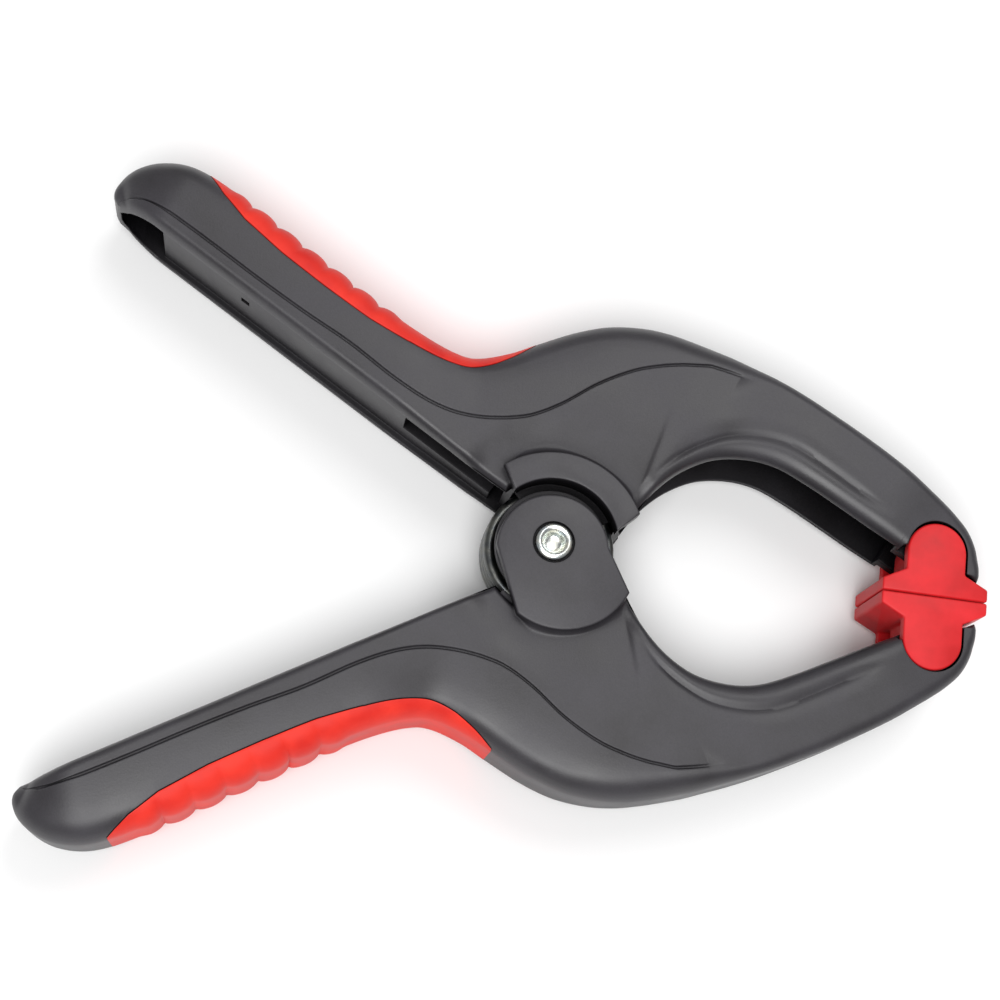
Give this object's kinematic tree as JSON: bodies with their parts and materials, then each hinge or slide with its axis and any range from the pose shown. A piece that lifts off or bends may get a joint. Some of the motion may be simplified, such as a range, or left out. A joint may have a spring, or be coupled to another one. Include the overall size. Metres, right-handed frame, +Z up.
{
  "type": "spring clamp",
  "caption": "Sprung two-arm hand clamp: channel-section arms on a riveted pivot with a torsion spring, soft grips and swivelling jaw pads.",
  "frame": {"origin": "on the pivot axis, at the underside of the rivet head that the closed clamp lies on", "axes": "+Z up along the pivot axis, +X from the pivot along the closed jaws' contact plane to the jaw tips, +Y towards the upper arm"},
  "size_m": [0.2181, 0.1622, 0.03],
  "materials": {
    "nylon": "glass-filled nylon, satin moulded texture, dark grey",
    "grip_elastomer": "soft overmoulded elastomer, red, matt",
    "pad_elastomer": "soft moulded elastomer, bright red, satin",
    "zinc_steel": "bright zinc plate",
    "spring_steel": "drawn spring wire, lightly oiled"
  },
  "bodies": {
    "lower_arm_body": {"lower_arm": "nylon", "lower_grip": "grip_elastomer", "lower_pad_pin": "zinc_steel", "pivot_rivet": "zinc_steel", "pivot_sleeve": "zinc_steel", "torsion_spring": "spring_steel"},
    "upper_arm_body": {"upper_arm": "nylon", "upper_grip": "grip_elastomer", "upper_pad_pin": "zinc_steel"},
    "upper_pad_body": {"upper_pad": "pad_elastomer"},
    "lower_pad_body": {"lower_pad": "pad_elastomer"}
  },
  "joints": [
    {"name": "main_pivot", "type": "hinge", "parent": "lower_arm_body", "child": "upper_arm_body", "pos_m": [0, 0, 0.015], "axis": [0, 0, 1], "range_deg": [0, 48], "stiffness_Nm_per_rad": 3, "springref_deg": -57.3, "deforming": ["torsion_spring"]},
    {"name": "upper_pad_swivel", "type": "hinge", "parent": "upper_arm_body", "child": "upper_pad_body", "pos_m": [0.0916, 0.0106, 0.015], "axis": [0, 0, 1], "range_deg": [-24, 0]},
    {"name": "lower_pad_swivel", "type": "hinge", "parent": "lower_arm_body", "child": "lower_pad_body", "pos_m": [0.0916, -0.0106, 0.015], "axis": [0, 0, 1], "range_deg": [0, 24]}
  ],
  "couplings": [
    {"joint": "upper_pad_swivel", "follows": "main_pivot", "ratio": -0.5},
    {"joint": "lower_pad_swivel", "follows": "main_pivot", "ratio": 0.5}
  ]
}
